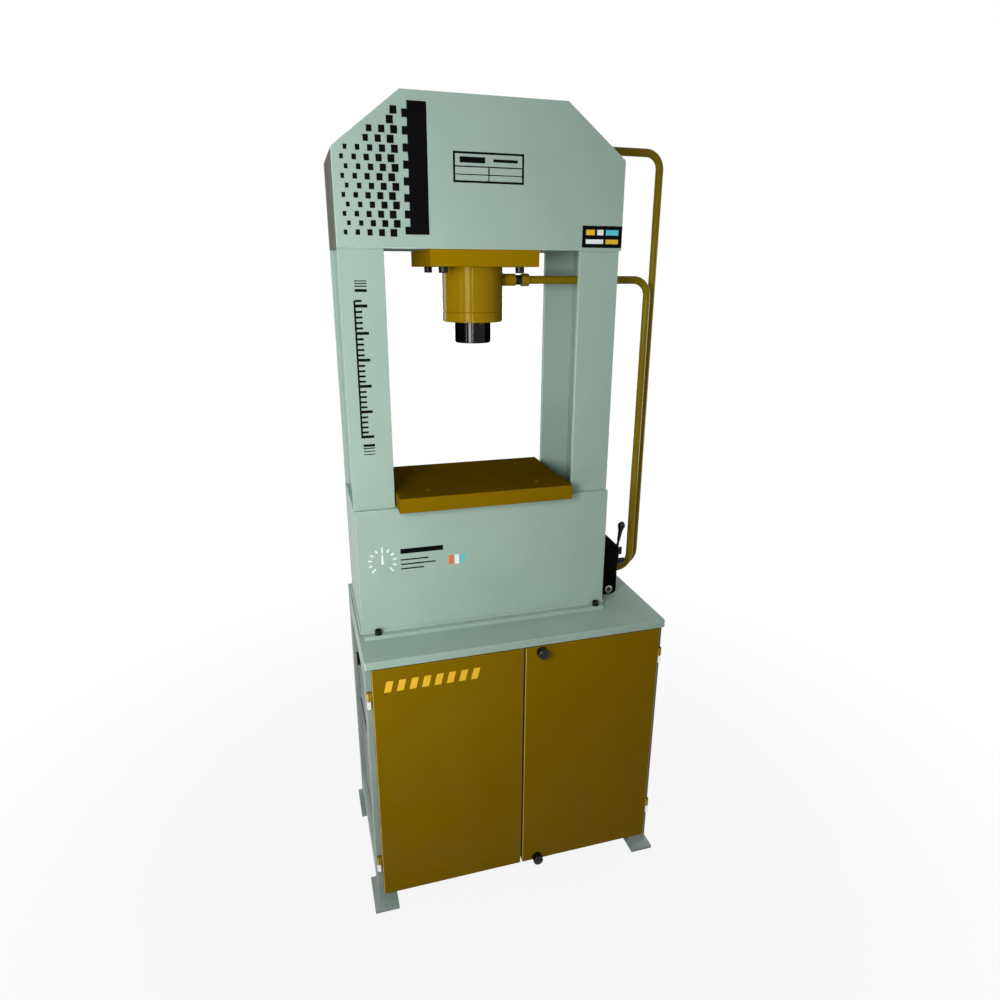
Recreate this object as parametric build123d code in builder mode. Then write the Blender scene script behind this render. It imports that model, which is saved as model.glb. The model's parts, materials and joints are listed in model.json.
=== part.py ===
from build123d import *
import math
import os

# Floor-standing H-frame hydraulic press on a steel cabinet, in mm.
# Origin on the floor at the centre of the anchor holes, +X right, +Y back, +Z up.

# Driving sizes
CAB_W = 796
CAB_D = 464
CAB_H = 760
TOP_T = 20
POST = 50
POST_SET = 16
RAM_X = -60
RAM_Y = 33
COL_HALF = 330
FLANGE_W = 100
PLATE_T = 12
SECTION_D = 250
WEB_IN = 10
WEB_T = 10
FOOT_T = 10
BED_TOP = 1132
BED_T = 36.5
CROWN_BOT = 1691
CROWN_SHOULDER = 1886
CROWN_TOP = 1998
CROWN_CUT = 144
BARREL_R = 75
BORE_R = 62.5
RAM_R = 45
STROKE = 200
PIPE_R = 10
PIPE_BORE = 7.5
PORT_Z = 1624
CAP_PORT_Y = 63
CAP_PORT_Z = 1931
PIPE_IN_X = 416
PIPE_OUT_X = 445
VALVE_Z = 805

# Derived sizes
CX = CAB_W / 2
CY = CAB_D / 2
FRONT_POST_Y = -CY + POST_SET
L_OUT = RAM_X - COL_HALF
R_OUT = RAM_X + COL_HALF
SEC_F = RAM_Y - SECTION_D / 2
SEC_B = RAM_Y + SECTION_D / 2
FACE_F = SEC_F - PLATE_T
FACE_B = SEC_B + PLATE_T
BED_BOT = BED_TOP - BED_T
FRAME_Z = CAB_H + FOOT_T

os.makedirs("parts", exist_ok=True)


def block(x0, x1, y0, y1, z0, z1, mode=Mode.ADD):
    with Locations(((x0 + x1) / 2, (y0 + y1) / 2, (z0 + z1) / 2)):
        Box(x1 - x0, y1 - y0, z1 - z0, mode=mode)


def post(x, y, z0, z1, r, mode=Mode.ADD):
    with Locations((x, y, (z0 + z1) / 2)):
        Cylinder(r, z1 - z0, mode=mode)


def along_x(x0, x1, y, z, r, mode=Mode.ADD):
    with Locations(((x0 + x1) / 2, y, z)):
        Cylinder(r, x1 - x0, rotation=(0, 90, 0), mode=mode)


def along_y(x, y0, y1, z, r, mode=Mode.ADD):
    with Locations((x, (y0 + y1) / 2, z)):
        Cylinder(r, y1 - y0, rotation=(90, 0, 0), mode=mode)


def save(piece, label):
    piece.part.label = label
    export_step(piece.part, f"parts/{label}.step")


# Cabinet feet, posts and rails
FOOT_X0 = 346
FOOT_X1 = 410
FOOT_LEN = 116
ANCHOR_X = 378
ANCHOR_Y = 146
with BuildPart() as foot_plates:
    for sx in (-1, 1):
        for sy in (-1, 1):
            y_out = -241 if sy < 0 else 241
            y_in = y_out - sy * FOOT_LEN
            block(min(sx * FOOT_X0, sx * FOOT_X1), max(sx * FOOT_X0, sx * FOOT_X1),
                  min(y_out, y_in), max(y_out, y_in), 0, FOOT_T)
            post(sx * ANCHOR_X, sy * ANCHOR_Y, -1, FOOT_T + 1, 7, Mode.SUBTRACT)
save(foot_plates, "foot_plates")

POST_Z1 = CAB_H - TOP_T
with BuildPart() as cabinet_posts:
    for sx in (-1, 1):
        for y0 in (FRONT_POST_Y, CY - POST):
            x0 = sx * CX - (POST if sx > 0 else 0)
            block(x0, x0 + POST, y0, y0 + POST, FOOT_T, POST_Z1)
            block(x0 + 3, x0 + POST - 3, y0 + 3, y0 + POST - 3, FOOT_T, POST_Z1, Mode.SUBTRACT)
save(cabinet_posts, "cabinet_posts")

RAIL_Z0 = 55
RAIL_H = 50
LATCH_X = 48
LATCH_Z = (722, 62)
IN_X = CX - POST
with BuildPart() as front_rails:
    block(-IN_X, IN_X, FRONT_POST_Y, FRONT_POST_Y + 5, POST_Z1 - RAIL_H, POST_Z1)
    block(-IN_X, IN_X, FRONT_POST_Y, FRONT_POST_Y + POST, POST_Z1 - 5, POST_Z1)
    block(-IN_X, IN_X, FRONT_POST_Y, FRONT_POST_Y + 5, RAIL_Z0, RAIL_Z0 + RAIL_H)
    block(-IN_X, IN_X, FRONT_POST_Y, FRONT_POST_Y + POST, RAIL_Z0 + RAIL_H - 5, RAIL_Z0 + RAIL_H)
    block(LATCH_X - 6.5, LATCH_X + 6.5, FRONT_POST_Y - 1, FRONT_POST_Y + 6,
          LATCH_Z[0] - 14, LATCH_Z[0] + 13, Mode.SUBTRACT)
    block(LATCH_X - 6.5, LATCH_X + 6.5, FRONT_POST_Y - 1, FRONT_POST_Y + 6,
          RAIL_Z0 - 1, LATCH_Z[1] + 14, Mode.SUBTRACT)
    block(-17, 23, FRONT_POST_Y + 5.1, FRONT_POST_Y + 10, RAIL_Z0 + RAIL_H + 3, POST_Z1 - 5.1)
save(front_rails, "front_rails")

SIDE_Y0 = FRONT_POST_Y + POST
SIDE_Y1 = CY - POST
with BuildPart() as cabinet_rails:
    for z0 in (RAIL_Z0, POST_Z1 - RAIL_H):
        for sx in (-1, 1):
            x0 = sx * CX - (POST if sx > 0 else 0)
            block(x0, x0 + POST, SIDE_Y0, SIDE_Y1, z0, z0 + RAIL_H)
            block(x0 + 3, x0 + POST - 3, SIDE_Y0, SIDE_Y1, z0 + 3, z0 + RAIL_H - 3, Mode.SUBTRACT)
        block(-IN_X, IN_X, CY - POST, CY - 2, z0, z0 + RAIL_H)
        block(-IN_X, IN_X, CY - POST + 3, CY - 5, z0 + 3, z0 + RAIL_H - 3, Mode.SUBTRACT)
save(cabinet_rails, "cabinet_rails")

PAN_Z = RAIL_Z0 + RAIL_H
with BuildPart() as floor_pan:
    block(-CX + 2, CX - 2, SIDE_Y0, SIDE_Y1, PAN_Z, PAN_Z + 3)
    block(-IN_X, IN_X, FRONT_POST_Y, SIDE_Y0, PAN_Z, PAN_Z + 3)
    block(-IN_X, IN_X, SIDE_Y1, CY - 2, PAN_Z, PAN_Z + 3)
save(floor_pan, "floor_pan")

# Pipe positions at the valve, from the cabinet to the cylinder
P_LINE = (316, 60)
T_LINE = (316, 20)
with BuildPart() as cabinet_top:
    block(-CX, CX, -CY, CY, POST_Z1, CAB_H)
    for x, y in (P_LINE, T_LINE):
        post(x, y, POST_Z1 - 1, CAB_H + 1, 14, Mode.SUBTRACT)
    chamfer(cabinet_top.edges().filter_by(Axis.Z).group_by(Axis.Y)[0], 3)
save(cabinet_top, "cabinet_top")

with BuildPart() as back_panel:
    block(-IN_X, IN_X, CY - 2, CY, RAIL_Z0, POST_Z1)
save(back_panel, "back_panel")

with BuildPart() as side_panel:
    block(CX - POST - 2, CX - POST, SIDE_Y0 - POST, SIDE_Y1 + POST - 2, PAN_Z + 3, POST_Z1 - RAIL_H)
save(side_panel, "side_panel")

# Lift-off hinges: lower halves with pins on the posts
HINGE_X = 391
HINGE_Y = -CY + 9
HINGE_R = 6
HINGE_PIN = 3
HINGE_Z = (652, 150)
with BuildPart() as hinge_pins:
    for sx in (-1, 1):
        for z in HINGE_Z:
            post(sx * HINGE_X, HINGE_Y, z - 22.5, z - 0.5, HINGE_R)
            post(sx * HINGE_X, HINGE_Y, z - 1, z + 17, HINGE_PIN)
            block(sx * HINGE_X - 4, sx * HINGE_X + 4, HINGE_Y, FRONT_POST_Y, z - 22.5, z - 0.5)
save(hinge_pins, "hinge_pins")

# Doors: folded trays with the upper hinge halves welded on
DOOR_Z0 = 52
DOOR_Z1 = 737
DOOR_F = -CY
DOOR_B = FRONT_POST_Y - 1
for label, x0, x1, hx in (("left_door", -383, 0, -HINGE_X), ("right_door", 6, 383, HINGE_X)):
    edge = x0 if hx < 0 else x1
    s = 1 if hx < 0 else -1
    with BuildPart() as door:
        block(x0, x1, DOOR_F, DOOR_B, DOOR_Z0, DOOR_Z1)
        fillet(door.edges().filter_by(Axis.Z).group_by(Axis.Y)[0], 2)
        block(x0 + 2, x1 - 2, DOOR_F + 2, DOOR_B, DOOR_Z0 + 2, DOOR_Z1 - 2, Mode.SUBTRACT)
        for z in HINGE_Z:
            post(hx, HINGE_Y, z, z + 22, HINGE_R)
            block(min(hx, edge + s), max(hx, edge + s), HINGE_Y - 3, HINGE_Y + 3, z, z + 22)
            post(hx, HINGE_Y, z - 1, z + 18, HINGE_PIN + 0.05, Mode.SUBTRACT)
        if hx > 0:
            for z in LATCH_Z:
                along_y(LATCH_X, DOOR_F - 1, DOOR_B, z, 4.05, Mode.SUBTRACT)
                block(LATCH_X - 16, LATCH_X + 16, DOOR_F + 2, DOOR_F + 8, z - 8, z + 8)
                along_y(LATCH_X, DOOR_F - 1, DOOR_B, z, 4.05, Mode.SUBTRACT)
    save(door, label)

# Quarter-turn latches on the right door: knob, spindle and cam bar
for label, z in (("latch_top", LATCH_Z[0]), ("latch_bottom", LATCH_Z[1])):
    with BuildPart() as latch:
        along_y(LATCH_X, DOOR_F - 20, DOOR_F - 0.4, z, 14)
        fillet(latch.edges().filter_by(GeomType.CIRCLE).group_by(Axis.Y)[0], 3)
        along_y(LATCH_X, DOOR_F - 1, FRONT_POST_Y + 12, z, 4)
        block(LATCH_X - 4, LATCH_X + 4, FRONT_POST_Y + 7, FRONT_POST_Y + 11, z - 11, z + 11)
    save(latch, label)

# Press frame: foot flange, columns, lower box
FL_F = FACE_F - 22
FL_B = FACE_B + 22
BOLT_XY = ((RAM_X - 290, FACE_F - 12), (RAM_X + 305, FACE_F - 12),
           (RAM_X - 290, FACE_B + 12), (RAM_X + 305, FACE_B + 12))
with BuildPart() as base_flange:
    block(L_OUT + 4, R_OUT - 4, FL_F, FL_B, CAB_H, FRAME_Z)
    for x, y in BOLT_XY:
        post(x, y, CAB_H - 1, FRAME_Z + 1, 6, Mode.SUBTRACT)
save(base_flange, "base_flange")

with BuildPart() as flange_bolts:
    for x, y in BOLT_XY:
        post(x, y, FRAME_Z, FRAME_Z + 12, 9)
        post(x, y, CAB_H, FRAME_Z + 1, 6)
        with BuildSketch(Plane.XY.offset(FRAME_Z + 12)):
            with Locations((x, y)):
                RegularPolygon(5, 6)
        extrude(amount=-6, mode=Mode.SUBTRACT)
save(flange_bolts, "flange_bolts")

COL_Z1 = CROWN_SHOULDER
for label, x0 in (("left_flanges", L_OUT), ("right_flanges", R_OUT - FLANGE_W)):
    with BuildPart() as flanges:
        block(x0, x0 + FLANGE_W, SEC_F, SEC_F + PLATE_T, FRAME_Z, COL_Z1)
        block(x0, x0 + FLANGE_W, SEC_B - PLATE_T, SEC_B, FRAME_Z, COL_Z1)
    save(flanges, label)

WEB_F = SEC_F + PLATE_T
WEB_B = SEC_B - PLATE_T
with BuildPart() as left_web:
    block(L_OUT + WEB_IN, L_OUT + WEB_IN + WEB_T, WEB_F, WEB_B, FRAME_Z, COL_Z1)
save(left_web, "left_web")

with BuildPart() as right_web:
    block(R_OUT - WEB_IN - WEB_T, R_OUT - WEB_IN, WEB_F, WEB_B, FRAME_Z, COL_Z1)
    along_x(R_OUT - 30, R_OUT, RAM_Y, PORT_Z, 14, Mode.SUBTRACT)
save(right_web, "right_web")

for label, y0 in (("bed_front_plate", FACE_F), ("bed_back_plate", SEC_B)):
    with BuildPart() as bed_face:
        block(L_OUT, R_OUT, y0, y0 + PLATE_T, FRAME_Z, BED_BOT)
    save(bed_face, label)

with BuildPart() as bed_side_plates:
    for x0 in (L_OUT, R_OUT - WEB_IN):
        block(x0, x0 + WEB_IN, WEB_F, WEB_B, FRAME_Z, BED_BOT)
save(bed_side_plates, "bed_side_plates")

IN_L = L_OUT + FLANGE_W
IN_R = R_OUT - FLANGE_W
BED_X = -67
BED_Y = 3
BED_HOLES = ((-140, -90), (140, -90), (-140, 90), (140, 90))
with BuildPart() as bed_support:
    block(IN_L, IN_R, SEC_F, SEC_B, BED_BOT - 25, BED_BOT)
    for dx, dy in BED_HOLES:
        post(BED_X + dx, BED_Y + dy, BED_BOT - 26, BED_BOT + 1, 8, Mode.SUBTRACT)
save(bed_support, "bed_support")

with BuildPart() as bed_plate:
    block(BED_X - 219, BED_X + 219, BED_Y - 147, BED_Y + 147, BED_BOT, BED_TOP)
    chamfer(bed_plate.edges().group_by(Axis.Z)[-1], 1)
    for dx, dy in BED_HOLES:
        post(BED_X + dx, BED_Y + dy, BED_BOT - 1, BED_TOP + 1, 5.1, Mode.SUBTRACT)
save(bed_plate, "bed_plate")

# Crown: face plates with cut corners, side plates, folded cover, bottom plate
CROWN_PTS = ((-COL_HALF, CROWN_BOT), (COL_HALF, CROWN_BOT), (COL_HALF, CROWN_SHOULDER),
             (COL_HALF - CROWN_CUT, CROWN_TOP), (-COL_HALF + CROWN_CUT, CROWN_TOP),
             (-COL_HALF, CROWN_SHOULDER))
for label, y0 in (("crown_front_plate", FACE_F), ("crown_back_plate", SEC_B)):
    with BuildPart() as crown_face:
        with BuildSketch(Plane.XZ.offset(-y0)):
            Polygon(*[(RAM_X + x, z) for x, z in CROWN_PTS], align=None)
        extrude(amount=-PLATE_T)
    save(crown_face, label)

with BuildPart() as crown_side_plates:
    for x0 in (L_OUT, R_OUT - WEB_IN):
        block(x0, x0 + WEB_IN, WEB_F, WEB_B, CROWN_BOT, CROWN_SHOULDER)
save(crown_side_plates, "crown_side_plates")

COVER_T = 10
SLOPE = math.atan2(CROWN_TOP - CROWN_SHOULDER, CROWN_CUT)
DROP = COVER_T / math.cos(SLOPE)
SHIFT = COVER_T * math.tan(SLOPE / 2)
with BuildPart() as crown_cover:
    with BuildSketch(Plane.XZ.offset(-SEC_F)):
        with BuildLine():
            Polyline((L_OUT, CROWN_SHOULDER), (L_OUT + CROWN_CUT, CROWN_TOP),
                     (R_OUT - CROWN_CUT, CROWN_TOP), (R_OUT, CROWN_SHOULDER),
                     (R_OUT - DROP * 1.35, CROWN_SHOULDER),
                     (R_OUT - CROWN_CUT - SHIFT, CROWN_TOP - COVER_T),
                     (L_OUT + CROWN_CUT + SHIFT, CROWN_TOP - COVER_T),
                     (L_OUT + DROP * 1.35, CROWN_SHOULDER), close=True)
        make_face()
    extrude(amount=-SECTION_D)
    along_x(R_OUT - 100, R_OUT, CAP_PORT_Y, CAP_PORT_Z, 13, Mode.SUBTRACT)
save(crown_cover, "crown_cover")

PLATE_BOLTS = ((-92, -92), (92, -92), (-92, 92), (92, 92))
with BuildPart() as crown_bottom:
    block(IN_L, IN_R, SEC_F, SEC_B, CROWN_BOT, CROWN_BOT + 25)
    post(RAM_X, RAM_Y, CROWN_BOT - 1, CROWN_BOT + 26, BARREL_R + 1, Mode.SUBTRACT)
    for dx, dy in PLATE_BOLTS:
        post(RAM_X + dx, RAM_Y + dy, CROWN_BOT - 1, CROWN_BOT + 26, 7, Mode.SUBTRACT)
save(crown_bottom, "crown_bottom")

# Cylinder
CPL_Z0 = CROWN_BOT - 37
with BuildPart() as cylinder_plate:
    block(RAM_X - 128, RAM_X + 128, RAM_Y - 128, RAM_Y + 128, CPL_Z0, CROWN_BOT)
    chamfer(cylinder_plate.edges().group_by(Axis.Z)[0], 1)
    post(RAM_X, RAM_Y, CPL_Z0 - 1, CROWN_BOT + 1, BARREL_R, Mode.SUBTRACT)
    for dx, dy in PLATE_BOLTS:
        post(RAM_X + dx, RAM_Y + dy, CPL_Z0 - 1, CROWN_BOT + 1, 7, Mode.SUBTRACT)
save(cylinder_plate, "cylinder_plate")

with BuildPart() as cylinder_bolts:
    for dx, dy in PLATE_BOLTS:
        post(RAM_X + dx, RAM_Y + dy, CPL_Z0 - 14, CPL_Z0, 10.5)
        post(RAM_X + dx, RAM_Y + dy, CPL_Z0 - 1, CROWN_BOT + 25, 7)
        with BuildSketch(Plane.XY.offset(CPL_Z0 - 14)):
            with Locations((RAM_X + dx, RAM_Y + dy)):
                RegularPolygon(6, 6)
        extrude(amount=7, mode=Mode.SUBTRACT)
save(cylinder_bolts, "cylinder_bolts")

BAR_Z0 = 1550
BAR_Z1 = 1905
BOSS_X = RAM_X + 108
with BuildPart() as cylinder_barrel:
    post(RAM_X, RAM_Y, BAR_Z0, BAR_Z1, BARREL_R)
    chamfer(cylinder_barrel.edges().filter_by(GeomType.CIRCLE).group_by(Axis.Z)[0], 1.2)
    along_x(RAM_X + 55, BOSS_X, RAM_Y, PORT_Z, 15)
    post(RAM_X, RAM_Y, BAR_Z0 - 1, BAR_Z1 + 1, BORE_R, Mode.SUBTRACT)
    along_x(RAM_X + 30, BOSS_X + 1, RAM_Y, PORT_Z, 6, Mode.SUBTRACT)
save(cylinder_barrel, "cylinder_barrel")

GLAND_Z0 = 1526
with BuildPart() as cylinder_gland:
    post(RAM_X, RAM_Y, GLAND_Z0, BAR_Z0, BARREL_R)
    chamfer(cylinder_gland.edges().filter_by(GeomType.CIRCLE), 1.5)
    post(RAM_X, RAM_Y, BAR_Z0 - 1, 1600, BORE_R)
    post(RAM_X, RAM_Y, GLAND_Z0 - 1, 1601, RAM_R + 0.05, Mode.SUBTRACT)
    post(RAM_X, RAM_Y, GLAND_Z0 - 1, GLAND_Z0 + 8, RAM_R + 6, Mode.SUBTRACT)
save(cylinder_gland, "cylinder_gland")

with BuildPart() as rod_wiper:
    post(RAM_X, RAM_Y, GLAND_Z0 - 1.5, GLAND_Z0 + 8, RAM_R + 6)
    post(RAM_X, RAM_Y, GLAND_Z0 - 3, GLAND_Z0 + 9, RAM_R + 0.05, Mode.SUBTRACT)
save(rod_wiper, "rod_wiper")

CAP_BOSS_X = RAM_X + 96
with BuildPart() as cylinder_cap:
    post(RAM_X, RAM_Y, BAR_Z1, BAR_Z1 + 50, BARREL_R)
    block(RAM_X + 20, CAP_BOSS_X, CAP_PORT_Y - 20, CAP_PORT_Y + 20, CAP_PORT_Z - 20, BAR_Z1 + 50)
    along_x(RAM_X + 12, CAP_BOSS_X + 1, CAP_PORT_Y, CAP_PORT_Z, 6, Mode.SUBTRACT)
    post(RAM_X + 18, CAP_PORT_Y, BAR_Z1 - 1, CAP_PORT_Z, 6, Mode.SUBTRACT)
save(cylinder_cap, "cylinder_cap")

# Ram assembly, drawn fully raised
NOSE_Z = 1475
PISTON_Z = 1840
with BuildPart() as ram:
    post(RAM_X, RAM_Y, NOSE_Z, PISTON_Z, RAM_R)
    chamfer(ram.edges().group_by(Axis.Z)[0], 2)
    post(RAM_X, RAM_Y, PISTON_Z - 1, PISTON_Z + 60, 30)
    post(RAM_X, RAM_Y, NOSE_Z - 1, NOSE_Z + 40, 8.75, Mode.SUBTRACT)
save(ram, "ram")

SEAL_Z = (PISTON_Z + 12, PISTON_Z + 40)
with BuildPart() as piston:
    post(RAM_X, RAM_Y, PISTON_Z, PISTON_Z + 60, BORE_R - 0.05)
    chamfer(piston.edges().filter_by(GeomType.CIRCLE), 2)
    post(RAM_X, RAM_Y, PISTON_Z - 1, PISTON_Z + 61, 30, Mode.SUBTRACT)
    for z in SEAL_Z:
        post(RAM_X, RAM_Y, z, z + 8, BORE_R, Mode.SUBTRACT)
        post(RAM_X, RAM_Y, z, z + 8, BORE_R - 6)
    post(RAM_X, RAM_Y, PISTON_Z - 1, PISTON_Z + 61, 30, Mode.SUBTRACT)
save(piston, "piston")

with BuildPart() as piston_seals:
    for z in SEAL_Z:
        post(RAM_X, RAM_Y, z, z + 8, BORE_R - 0.03)
        post(RAM_X, RAM_Y, z - 1, z + 9, BORE_R - 6, Mode.SUBTRACT)
save(piston_seals, "piston_seals")

# Pipe unions and hex nuts at the cylinder and at the valve
VALVE_X0 = 281
VALVE_X1 = 341
with BuildPart() as port_unions:
    along_x(BOSS_X, BOSS_X + 17, RAM_Y, PORT_Z, 12)
    along_x(CAP_BOSS_X, CAP_BOSS_X + 17, CAP_PORT_Y, CAP_PORT_Z, 12)
    along_x(BOSS_X - 1, BOSS_X + 18, RAM_Y, PORT_Z, 6, Mode.SUBTRACT)
    along_x(CAP_BOSS_X - 1, CAP_BOSS_X + 18, CAP_PORT_Y, CAP_PORT_Z, 6, Mode.SUBTRACT)
save(port_unions, "port_unions")

NUT_L = 20
NUTS = ((BOSS_X + 17, RAM_Y, PORT_Z), (CAP_BOSS_X + 17, CAP_PORT_Y, CAP_PORT_Z),
        (VALVE_X1, RAM_Y, VALVE_Z), (VALVE_X1, CAP_PORT_Y, VALVE_Z))
with BuildPart() as union_nuts:
    for x, y, z in NUTS:
        with BuildSketch(Plane.YZ.offset(x)):
            with Locations((y, z)):
                RegularPolygon(13.5, 6, major_radius=False, rotation=30)
        extrude(amount=NUT_L)
        along_x(x - 1, x + NUT_L + 1, y, z, PIPE_R, Mode.SUBTRACT)
save(union_nuts, "union_nuts")

# Rigid pipes
RUNS = (("lower_pipe", (BOSS_X + 17, RAM_Y, PORT_Z), PIPE_IN_X, RAM_Y),
        ("upper_pipe", (CAP_BOSS_X + 17, CAP_PORT_Y, CAP_PORT_Z), PIPE_OUT_X, CAP_PORT_Y))
for label, start, xv, yv in RUNS:
    with BuildPart() as pipe:
        with BuildLine():
            FilletPolyline(start, (xv, yv, start[2]), (xv, yv, VALVE_Z), (VALVE_X1, yv, VALVE_Z),
                           radius=40)
        with BuildSketch(Plane(origin=start, z_dir=(1, 0, 0))):
            Circle(PIPE_R)
            Circle(PIPE_BORE, mode=Mode.SUBTRACT)
        sweep()
    save(pipe, label)

# Hand valve beside the lower box
SPOOL_Y = -4
SPOOL_Z = 843
SPOOL_R = 8
PIVOT_X = 356
PIVOT_Z = 880
with BuildPart() as valve_body:
    block(VALVE_X0, VALVE_X1, -42, 86, CAB_H, 907)
    fillet(valve_body.edges().filter_by(Axis.Y).group_by(Axis.Z)[0], 12)
    chamfer(valve_body.edges().filter_by(Axis.Y).group_by(Axis.Z)[-1], 2)
    with BuildSketch(Plane.XZ.offset(42)):
        with BuildLine():
            Polyline((VALVE_X0, 905), (VALVE_X0, 949), (297, 949), (VALVE_X1, 905), close=True)
        make_face()
    extrude(amount=-86)
    along_x(VALVE_X0 - 1, VALVE_X1 + 1, SPOOL_Y, SPOOL_Z, SPOOL_R + 0.05, Mode.SUBTRACT)
    along_y(317, -43, -20, 776, 9, Mode.SUBTRACT)
    for y in (RAM_Y, CAP_PORT_Y):
        along_x(VALVE_X1 - 30, VALVE_X1 + 1, y, VALVE_Z, 7.5, Mode.SUBTRACT)
    for x, y in (P_LINE, T_LINE):
        post(x, y, CAB_H - 1, CAB_H + 20, 10, Mode.SUBTRACT)
save(valve_body, "valve_body")

with BuildPart() as valve_plug:
    along_y(317, -46, -42, 776, 11)
    along_y(317, -43, -24, 776, 9)
    with BuildSketch(Plane.XZ.offset(46)):
        with Locations((317, 776)):
            RegularPolygon(5, 6)
    extrude(amount=-8, mode=Mode.SUBTRACT)
save(valve_plug, "valve_plug")

with BuildPart() as lever_bracket:
    for s in (-1, 1):
        block(VALVE_X1, PIVOT_X + 9, SPOOL_Y + s * 12 - 2.5, SPOOL_Y + s * 12 + 2.5,
              PIVOT_Z - 11, PIVOT_Z + 11)
    block(VALVE_X1, VALVE_X1 + 4, SPOOL_Y - 14.5, SPOOL_Y + 14.5, PIVOT_Z - 20, PIVOT_Z + 11)
    along_y(PIVOT_X, SPOOL_Y - 17, SPOOL_Y + 17, PIVOT_Z, 4)
save(lever_bracket, "lever_bracket")

with BuildPart() as valve_spool:
    along_x(VALVE_X0 + 10, VALVE_X1 + 9, SPOOL_Y, SPOOL_Z, SPOOL_R)
    along_x(VALVE_X1 + 9, VALVE_X1 + 21, SPOOL_Y, SPOOL_Z, 4)
    along_x(VALVE_X1 + 21, VALVE_X1 + 40, SPOOL_Y, SPOOL_Z, SPOOL_R)
    fillet(valve_spool.edges().filter_by(GeomType.CIRCLE).group_by(Axis.X)[-1], 2)
save(valve_spool, "valve_spool")

LEVER_TILT = 8
KNOB_Z = 953
KNOB_X = PIVOT_X + (KNOB_Z - PIVOT_Z) * math.tan(math.radians(LEVER_TILT))
with BuildPart() as hand_lever:
    along_y(PIVOT_X, SPOOL_Y - 9, SPOOL_Y + 9, PIVOT_Z, 9)
    with Locations(Location(((PIVOT_X + KNOB_X) / 2, SPOOL_Y, (PIVOT_Z + KNOB_Z) / 2),
                            (0, LEVER_TILT, 0))):
        Cylinder(3.5, (KNOB_Z - PIVOT_Z) / math.cos(math.radians(LEVER_TILT)) - 8)
    block(PIVOT_X - 3.5, PIVOT_X + 3.5, SPOOL_Y - 8, SPOOL_Y + 8, SPOOL_Z - 8, PIVOT_Z)
    block(PIVOT_X - 4, PIVOT_X + 4, SPOOL_Y - 4.5, SPOOL_Y + 4.5, SPOOL_Z - 9, SPOOL_Z + 6,
          Mode.SUBTRACT)
    along_y(PIVOT_X, SPOOL_Y - 20, SPOOL_Y + 20, PIVOT_Z, 4.05, Mode.SUBTRACT)
save(hand_lever, "hand_lever")

with BuildPart() as lever_knob:
    with Locations(Location((KNOB_X, SPOOL_Y, KNOB_Z), (0, LEVER_TILT, 0))):
        Sphere(11)
    with Locations(Location(((PIVOT_X + KNOB_X) / 2, SPOOL_Y, (PIVOT_Z + KNOB_Z) / 2),
                            (0, LEVER_TILT, 0))):
        Cylinder(3.5, (KNOB_Z - PIVOT_Z) / math.cos(math.radians(LEVER_TILT)) - 8,
                 mode=Mode.SUBTRACT)
save(lever_knob, "lever_knob")

# Power pack inside the cabinet
TANK_X0 = -388
TANK_X1 = 122
TANK_Y0 = -150
TANK_Y1 = 170
TANK_Z0 = PAN_Z + 3
TANK_Z1 = 402
with BuildPart() as oil_tank:
    block(TANK_X0, TANK_X1, TANK_Y0, TANK_Y1, TANK_Z0, TANK_Z1)
    fillet(oil_tank.edges().filter_by(Axis.Z), 6)
    block(TANK_X0 + 3, TANK_X1 - 3, TANK_Y0 + 3, TANK_Y1 - 3, TANK_Z0 + 3, TANK_Z1, Mode.SUBTRACT)
save(oil_tank, "oil_tank")

MOT_Y = 10
MOT_Z = 502
LID_Z = TANK_Z1 + 6
SUCT_X = 85
RET_X = 100
RET_Y = 120
with BuildPart() as tank_lid:
    block(TANK_X0, TANK_X1, TANK_Y0, TANK_Y1, TANK_Z1, LID_Z)
    fillet(tank_lid.edges().filter_by(Axis.Z), 6)
    post(SUCT_X, MOT_Y, TANK_Z1 - 1, LID_Z + 1, 11, Mode.SUBTRACT)
    post(RET_X, RET_Y, TANK_Z1 - 1, LID_Z + 1, 8, Mode.SUBTRACT)
    post(-330, -100, TANK_Z1 - 1, LID_Z + 1, 20, Mode.SUBTRACT)
save(tank_lid, "tank_lid")

with BuildPart() as breather:
    post(-330, -100, TANK_Z1 - 40, LID_Z, 20)
    post(-330, -100, LID_Z, LID_Z + 6, 28)
    post(-330, -100, LID_Z + 6, LID_Z + 40, 24)
    fillet(breather.edges().filter_by(GeomType.CIRCLE).group_by(Axis.Z)[-1], 4)
save(breather, "breather")

MOT_X0 = -235
MOT_X1 = -25
with BuildPart() as motor:
    along_x(MOT_X0, MOT_X1, MOT_Y, MOT_Z, 76)
    with BuildSketch(Plane.YZ.offset(MOT_X0 + 50)):
        with Locations((MOT_Y, MOT_Z)):
            with PolarLocations(79, 24):
                Rectangle(14, 3)
    extrude(amount=130)
    along_x(MOT_X1 - 12, MOT_X1, MOT_Y, MOT_Z, 84)
    block(-170, -60, MOT_Y - 75, MOT_Y + 75, LID_Z, LID_Z + 12)
    block(-160, -70, MOT_Y - 65, MOT_Y + 65, LID_Z + 12, MOT_Z - 50)
    block(-165, -85, MOT_Y - 40, MOT_Y + 40, MOT_Z + 60, MOT_Z + 118)
    along_x(MOT_X1 - 60, MOT_X1 + 1, MOT_Y, MOT_Z, 12.05, Mode.SUBTRACT)
save(motor, "motor")

BELL_X1 = 55
with BuildPart() as bell_housing:
    along_x(MOT_X1, MOT_X1 + 12, MOT_Y, MOT_Z, 84)
    along_x(MOT_X1 + 12, BELL_X1, MOT_Y, MOT_Z, 60)
    along_x(MOT_X1 - 1, BELL_X1 - 12, MOT_Y, MOT_Z, 48, Mode.SUBTRACT)
    along_x(MOT_X1, BELL_X1 + 1, MOT_Y, MOT_Z, 25, Mode.SUBTRACT)
save(bell_housing, "bell_housing")

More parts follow.
